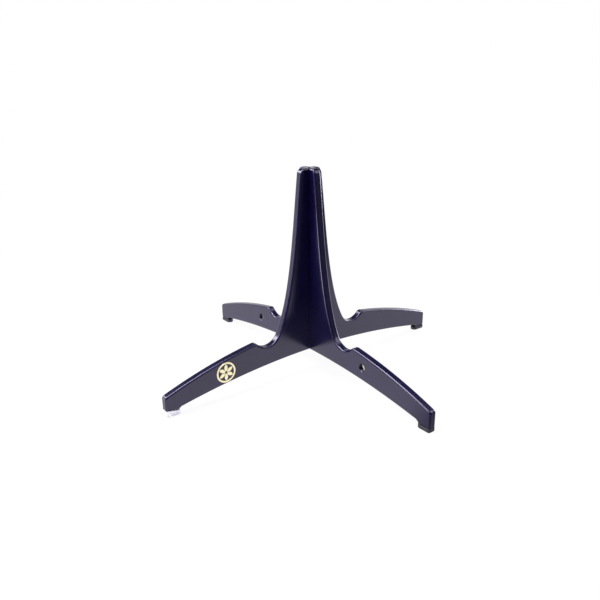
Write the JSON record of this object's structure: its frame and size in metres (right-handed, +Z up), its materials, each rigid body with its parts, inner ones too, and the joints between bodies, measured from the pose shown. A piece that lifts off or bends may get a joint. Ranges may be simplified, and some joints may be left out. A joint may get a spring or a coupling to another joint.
{
  "type": "clarinet stand",
  "caption": "Folding clarinet stand: flat moulded leaves hinge open into a cross, their tall fins go up inside the bell and its rim rests in notches above the curved legs.",
  "frame": {"origin": "on the ground below the middle of the open cross", "axes": "+Z up along the column; the four legs point along -X (front left), +Y (back left), +X (back right) and -Y (front right)"},
  "size_m": [0.23, 0.23, 0.1411],
  "materials": {
    "black_plastic": "satin moulded",
    "black_rubber": "dull",
    "pale_silicone": "satin",
    "nickel_plate": "bright nickel plate",
    "steel": "drawn wire"
  },
  "bodies": {
    "front_left": {"leaf_front_left": "black_plastic", "foot_pad_front_left": "pale_silicone", "magnet_front_left": "nickel_plate", "hinge_pin_front_left": "steel"},
    "back_left": {"leaf_back_left": "black_plastic", "foot_pad_back_left": "black_rubber", "magnet_back_left": "nickel_plate", "hinge_pin_back_left": "steel"},
    "back_right": {"leaf_back_right": "black_plastic", "foot_pad_back_right": "black_rubber", "magnet_back_right": "nickel_plate", "hinge_pin_back_right": "steel"},
    "front_right": {"leaf_front_right": "black_plastic", "foot_pad_front_right": "black_rubber", "magnet_front_right": "nickel_plate"}
  },
  "joints": [
    {"name": "fold_back_left", "type": "hinge", "parent": "front_left", "child": "back_left", "pos_m": [-0.00282, 0.00282, 0.076], "axis": [0, 0, 1], "range_deg": [0, 90]},
    {"name": "fold_back_right", "type": "hinge", "parent": "back_left", "child": "back_right", "pos_m": [0.00282, 0.00282, 0.076], "axis": [0, 0, 1], "range_deg": [0, 90]},
    {"name": "fold_front_right", "type": "hinge", "parent": "back_right", "child": "front_right", "pos_m": [0.00282, -0.00282, 0.076], "axis": [0, 0, 1], "range_deg": [0, 90]}
  ]
}
